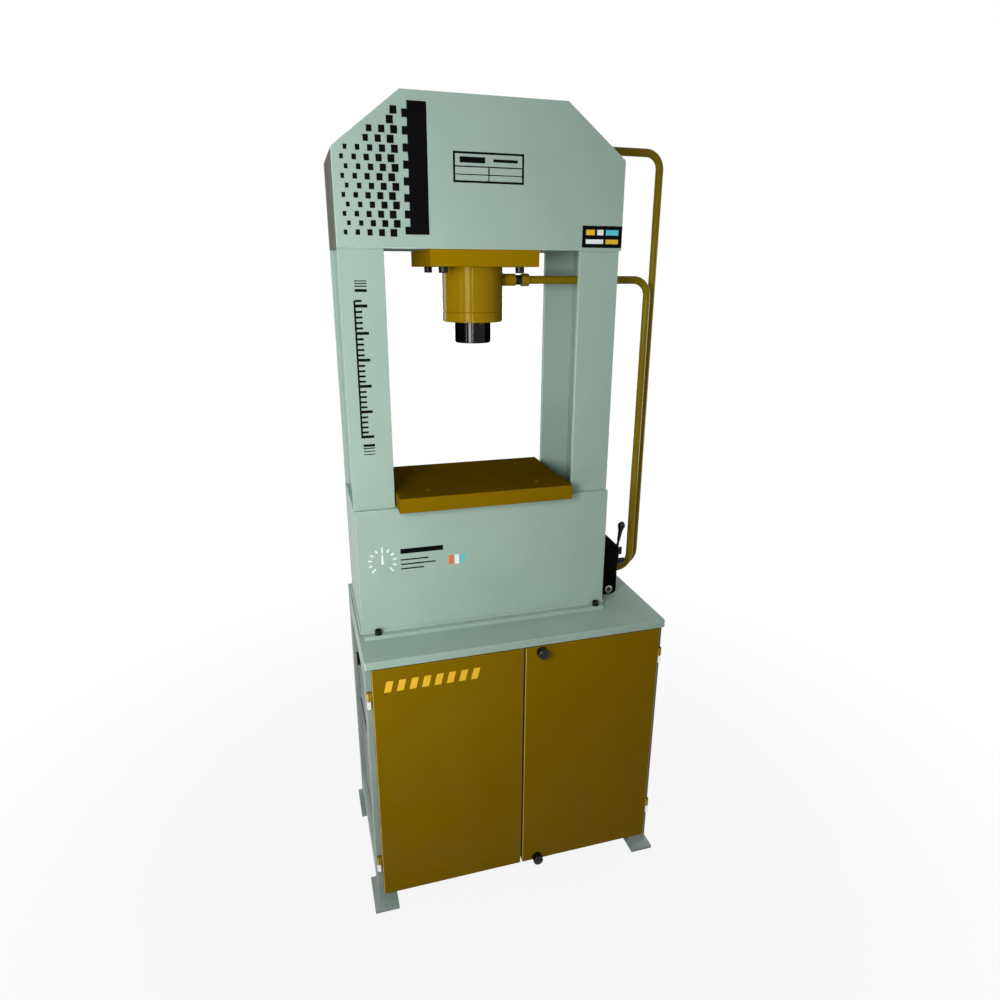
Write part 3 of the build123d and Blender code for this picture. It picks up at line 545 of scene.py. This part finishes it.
# Crown: a fading check, cut off under the sloping shoulder, with a comb-edged bar
CHECK_X, CHECK_Z, STEP_X, STEP_Z = -370, 1722, 25.5, 18.2
CHECK_ROWS, CHECK_COLUMNS, STAGGER = 15, 5, 8
SQUARE_X, SQUARE_Z, GROWTH_X, GROWTH_Z = 7.5, 9.5, 7, 6
CHECK_RIGHT, SHOULDER_X, SHOULDER_Z, SHOULDER_SLOPE = -245, -390, 1872, 112 / 144
check = []
for row in range(CHECK_ROWS):
    for column in range(CHECK_COLUMNS):
        x = CHECK_X + column * STEP_X + (STAGGER if row % 2 else 0)
        z = CHECK_Z + row * STEP_Z
        grown = column / (CHECK_COLUMNS - 1)
        half_x, half_z = (SQUARE_X + GROWTH_X * grown) / 2, (SQUARE_Z + GROWTH_Z * grown) / 2
        shoulder = SHOULDER_Z + (x - half_x - SHOULDER_X) * SHOULDER_SLOPE
        if x + half_x <= CHECK_RIGHT and z + half_z <= shoulder:
            check.append((x - half_x, x + half_x, z - half_z, z + half_z))
BAR_FOOT, TOOTH_STEP, TOOTH = 1719, 32.4, 16
check.append((-232, -190.5, BAR_FOOT, 1977.5))
check += [(-243, -231.9, BAR_FOOT + k * TOOTH_STEP, BAR_FOOT + k * TOOTH_STEP + TOOTH) for k in range(8)]
stickers("crown_check", vinyl_black, CROWN_Y, check)

# Crown: blank data plate and a small panel with two rows of coloured tabs
stickers("data_plate_edge", vinyl_black, CROWN_Y, [(-135.5, 24.5, 1826.5, 1888)])
stickers("data_plate_face", plate_sage, CROWN_Y, [(-131, 20, 1831, 1883.5)], thick=0.35)
stickers("data_plate_lines", vinyl_black, CROWN_Y,
         [(-131, 20, 1857.5, 1860), (-131, 20, 1842, 1844), (-57, -54.5, 1831, 1858), (-121, -64, 1866, 1878),
          (-46, 10, 1869, 1875)], thick=0.5)
stickers("side_panel_ground", vinyl_black, CROWN_Y, [(169, 269.5, 1697.5, 1745.5)])
UPPER_TABS, LOWER_TABS = (1725, 1737), (1706, 1716)
for tag, material, blocks in (("amber", vinyl_amber, ((178, 200, *UPPER_TABS), (228, 260, *LOWER_TABS))),
                              ("pale", vinyl_pale, ((206, 222, *UPPER_TABS), (178, 222, *LOWER_TABS))),
                              ("cyan", vinyl_cyan, ((228, 260, *UPPER_TABS),))):
    stickers("side_panel_" + tag, material, CROWN_Y, blocks, thick=0.4)

# Left column: two groups of cross bars and a plain graduated scale between them
SCALE_X, SCALE_FOOT, SCALE_STEP, SCALE_MARKS = -357.5, 1272, 11.8, 27
bars = [(SCALE_X, -331, z, z + t) for z, t in ((1622, 2), (1616.7, 2.2), (1610.7, 2.6), (1600, 6))]
bars += [(SCALE_X, -331, z - t, z) for z, t in ((1257.5, 6), (1249, 2.6), (1241.5, 2.2), (1234, 2))]
for mark in range(SCALE_MARKS):
    reach, tall = (14, 4.6) if mark % 5 else (26, 6.5)
    z = SCALE_FOOT + mark * SCALE_STEP
    bars.append((SCALE_X, SCALE_X + reach, z, z + tall))
bars.append((-361.5, -357.4, SCALE_FOOT, SCALE_FOOT + (SCALE_MARKS - 1) * SCALE_STEP + 3.4))
stickers("column_scale", vinyl_black, COLUMN_Y, bars)

# Lower box: round scale of ticks with a needle, plain dark lines and a row of small coloured blocks
DIAL_X, DIAL_Y, DIAL_Z, DIAL_RADIUS = -329, CROWN_Y - 0.15, 961, 31
TICKS, FIRST_TICK, TICK_STEP = 11, 225, 27
dial = bmesh.new()
for k in range(TICKS):
    angle = math.radians(FIRST_TICK - TICK_STEP * k)
    tick = bmesh.new()
    bmesh.ops.create_cube(tick, size=1)
    bmesh.ops.scale(tick, vec=(9 if k % 5 else 14, 0.3, 3.6), verts=tick.verts)
    bmesh.ops.rotate(tick, cent=(0, 0, 0), matrix=Matrix.Rotation(-angle, 3, "Y"), verts=tick.verts)
    gather(dial, tick, place_at(DIAL_X + math.cos(angle) * DIAL_RADIUS, DIAL_Y,
                                DIAL_Z + math.sin(angle) * DIAL_RADIUS))
needle = bmesh.new()
bmesh.ops.create_cone(needle, cap_ends=True, radius1=3.4, radius2=1.2, depth=27, segments=4)
bmesh.ops.scale(needle, vec=(1, 0.1, 1), verts=needle.verts)
gather(dial, needle, place_at(DIAL_X, DIAL_Y, DIAL_Z + 7))
piece_from(dial, "box_dial", vinyl_pale, "press")
stickers("box_lines", vinyl_black, CROWN_Y,
         [(-284, -176, 977, 990), (-284, -214, 959, 962.5), (-284, -196, 947, 950.5), (-284, -226, 935, 938.5)])
for tag, material, x in (("rust", vinyl_rust, -156), ("pale", vinyl_pale, -141), ("cyan", vinyl_cyan, -126)):
    stickers("box_block_" + tag, material, CROWN_Y, [(x - 5.5, x + 5.5, 935, 960)])

# Left door: a row of slanted amber dashes
stickers("door_dashes", vinyl_amber, DOOR_Y, [(-352 + k * 31, -335 + k * 31, 673, 703) for k in range(8)],
         body="left_door_leaf", lean=0.25)


# Socket screws in place of the plain ones: a head on each seat, and a shank that reaches into the plate
def screw_set(node, seats, head, shank, reach, axis):
    bm = bmesh.new()
    profile = [(0, 0.2), (shank, 0.2), (shank, -reach + 1.5), (shank - 1.5, -reach), (0, -reach)]
    for seat in seats:
        gather(bm, cap_screw(*head), place_along(seat, axis))
        gather(bm, turned(profile, 24), place_along(seat, axis))
    screws = piece_from(bm, node + "_socketed", screw_black, body_of_node[node])
    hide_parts(node)


FLANGE_Z, PLATE_UNDERSIDE = 770, 1654
RAM_X, RAM_Y, BOLT_REACH = -60, 33, 92
screw_set("flange_bolts", [(x, y, FLANGE_Z) for x in (-350, 245) for y in (-116, 182)],
          (9, 12, 10.4), 5.9, 10, (0, 0, 1))
screw_set("cylinder_bolts",
          [(RAM_X + dx, RAM_Y + dy, PLATE_UNDERSIDE) for dx in (-BOLT_REACH, BOLT_REACH)
           for dy in (-BOLT_REACH, BOLT_REACH)],
          (10.5, 14, 12), 6.9, 60, (0, 0, -1))

# Plug at the foot of the valve: a domed collar, a shank, and at the bottom of the socket a dark hexagon that is
# painted shade for the socket's depth
PLUG_X, PLUG_Y, PLUG_Z, FORWARD = 317, -42, 776, (0, -1, 0)
plug = bmesh.new()
gather(plug, cap_screw(11, 4.2, 13), place_along((PLUG_X, PLUG_Y, PLUG_Z), FORWARD))
gather(plug, turned([(0, 0.1), (8.9, 0.1), (8.9, -17), (7.9, -18), (0, -18)], 24),
       place_along((PLUG_X, PLUG_Y, PLUG_Z), FORWARD))
plug = piece_from(plug, "valve_plug_socketed", finishes[slot_of_node["valve_plug"]], "press")
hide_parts("valve_plug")
hexagon = bmesh.new()
bmesh.ops.create_circle(hexagon, cap_ends=True, radius=7.1, segments=6)
raise_face(hexagon, hexagon.faces[:][0], 1.2)
bmesh.ops.recalc_face_normals(hexagon, faces=hexagon.faces)
socket_shade_disc = bmesh.new()
gather(socket_shade_disc, hexagon, place_along((PLUG_X, PLUG_Y - 2.4, PLUG_Z), FORWARD))
piece_from(socket_shade_disc, "valve_plug_socket_shade", socket_painted_shade, "press")

# Drop-shaped phenolic grip of the hand lever, on the lever's own lean
LEAN = math.radians(8)
KNOB_Z, PIVOT_X, PIVOT_Z, LEVER_Y = 953, 356, 880, -4
knob_x = PIVOT_X + (KNOB_Z - PIVOT_Z) * math.tan(LEAN)
grip = bmesh.new()
gather(grip, turned([(0, 11), (4.2, 10.2), (7.8, 7.8), (10.2, 4.2), (11, 0), (10.4, -3.8), (8.9, -8), (7.4, -13),
                     (6.4, -18), (5.6, -28), (5.0, -38), (4.7, -45), (4.2, -46.5), (3.55, -46.5), (3.55, -20),
                     (0, -20)], 32),
       place_along((knob_x, LEVER_Y, KNOB_Z), (math.sin(LEAN), 0, math.cos(LEAN))))
grip = piece_from(grip, "lever_grip", finishes[slot_of_node["lever_knob"]], body_of_node["lever_knob"],
                  smooth=50)
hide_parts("lever_knob")

# Latch knobs: a domed cap on the turning face
LATCH_X, LATCH_FACE = 48, -252
for node, z in (("latch_top", 722), ("latch_bottom", 62)):
    dome = bmesh.new()
    gather(dome, turned([(0, 2.6), (5, 2.4), (9.5, 1.7), (12, 0.7), (12.9, -0.2), (0, -0.2)], 40),
           place_along((LATCH_X, LATCH_FACE, z), FORWARD))
    piece_from(dome, node + "_dome", finishes["black_plastic"], body_of_node[node],
               smooth=50)

# Welded seams: round the foot of the lower box on its flange, and across the columns under the crown
draw = random.Random(11)
seams = bmesh.new()
LONG_Z, SHORT_Z, CROWN_SEAM_Z = FLANGE_Z + 1.5, FLANGE_Z + 1.2, 1690.2
for start, end in (((-388, -105.5, LONG_Z), (268, -105.5, LONG_Z)),
                   ((-391.2, -103, SHORT_Z), (-391.2, 169, SHORT_Z)),
                   ((271.2, -103, SHORT_Z), (271.2, 169, SHORT_Z)),
                   ((-388, 171.5, LONG_Z), (268, 171.5, LONG_Z))):
    bead(seams, start, end, 3.4, draw)
for x0, x1 in ((-388, -291), (171, 268)):
    for y in (-93.2, 159.2):
        bead(seams, (x0, y, CROWN_SEAM_Z), (x1, y, CROWN_SEAM_Z), 2.4, draw)
piece_from(seams, "frame_weld_seams", weld_paint, "press", smooth=80)


# Studio: pale floor that fades to white, white seen by the camera, by gloss and through glass, soft lamps
AIR_COLOUR, AIR = (0.95, 0.98, 1, 1), 0.17
WHITE = (1, 1, 1, 1)
FLOOR_GREY, FLOOR_HALF = (0.24, 0.24, 0.24, 1), 14
# The floor is plain white beyond the second of these distances, and slightly shaded within the first
SHADED, BEYOND = 0.6, 1.9
# Name, place, aim, width, height and power of each lamp
LAMPS = (("key_left_front", (-0.92, -1.32, 1.6), (-0.1, 0, 1.35), 0.45, 0.6, 18.5),
         ("strip_front", (-0.70, -2.49, 1.55), (-0.06, 0.03, 1.5), 0.05, 0.9, 9),
         ("strip_left", (-1.70, -1.11, 1.6), (-0.06, 0.03, 1.5), 0.05, 0.9, 2.4),
         ("strip_side", (-2.10, -0.04, 1.6), (-0.06, 0.03, 1.5), 0.05, 0.9, 1.6),
         ("low_left", (-1.12, -0.92, 0.70), (-0.2, -0.2, 0.45), 0.35, 0.4, 3.9),
         ("fill_right", (2.4, -2.8, 2.0), (0, 0, 1.3), 1.6, 1.6, 3),
         ("top_soft", (0, 0.6, 4.0), (0, 0, 0), 2.2, 2.2, 4.5),
         ("side_right", (3.2, 0.5, 1.1), (0.2, 0, 1.0), 1.6, 1.6, 56),
         ("back_right", (0.8, 3.3, 1.1), (0, 0, 1.0), 1.6, 1.6, 58),
         ("back_left", (-2.4, 2.4, 1.1), (0, 0, 1.0), 1.2, 1.2, 20))


def seen_rays(tree):
    path = tree.nodes.new("ShaderNodeLightPath")
    both = math_node(tree, "ADD", path.outputs["Is Camera Ray"], path.outputs["Is Glossy Ray"])
    return math_node(tree, "ADD", both, path.outputs["Is Transmission Ray"], clamp=True)


def mix_shaders(tree, share, first, second, output):
    mixer = tree.nodes.new("ShaderNodeMixShader")
    for index, socket in enumerate((share, first, second)):
        tree.links.new(socket, mixer.inputs[index])
    tree.links.new(mixer.outputs[0], output)


def background(tree, colour, strength):
    node = tree.nodes.new("ShaderNodeBackground")
    node.inputs["Color"].default_value = colour
    node.inputs["Strength"].default_value = strength
    return node.outputs[0]


def build_air():
    world = bpy.data.worlds.new("studio_air")
    bpy.context.scene.world = world
    world.use_nodes = True
    tree = world.node_tree
    tree.nodes.clear()
    out = tree.nodes.new("ShaderNodeOutputWorld")
    mix_shaders(tree, seen_rays(tree), background(tree, AIR_COLOUR, AIR), background(tree, WHITE, 1),
                out.inputs[0])


def build_floor():
    bm = bmesh.new()
    bmesh.ops.create_grid(bm, x_segments=2, y_segments=2, size=FLOOR_HALF)
    mat = bpy.data.materials.new("pale_floor")
    mat.use_nodes = True
    tree = mat.node_tree
    shader = tree.nodes["Principled BSDF"]
    shader.inputs["Base Color"].default_value = FLOOR_GREY
    shader.inputs["Roughness"].default_value = 0.8
    shader.inputs["Specular IOR Level"].default_value = 0.1
    glow = tree.nodes.new("ShaderNodeEmission")
    glow.inputs["Color"].default_value = WHITE
    reach = tree.nodes.new("ShaderNodeVectorMath")
    reach.operation = "LENGTH"
    tree.links.new(tree.nodes.new("ShaderNodeTexCoord").outputs["Object"], reach.inputs[0])
    fade = spread(tree, reach.outputs["Value"], SHADED, BEYOND, 0.90, 1.0)
    mix_shaders(tree, math_node(tree, "MULTIPLY", seen_rays(tree), fade), shader.outputs[0], glow.outputs[0],
                tree.nodes["Material Output"].inputs[0])
    piece_from(bm, "studio_floor", mat, None)


def hang_lamps():
    for label, place, aim, wide, tall, power in LAMPS:
        lamp = bpy.data.lights.new(label, "AREA")
        lamp.shape = "RECTANGLE"
        lamp.size = wide
        lamp.size_y = tall
        lamp.energy = power
        holder = bpy.data.objects.new(label, lamp)
        look = (Vector(aim) - Vector(place)).to_track_quat("-Z", "Y").to_matrix().to_4x4()
        holder.matrix_world = Matrix.Translation(place) @ look
        bpy.context.collection.objects.link(holder)


set_camera()
build_air()
build_floor()
hang_lamps()
bpy.context.scene.view_settings.view_transform = "Standard"
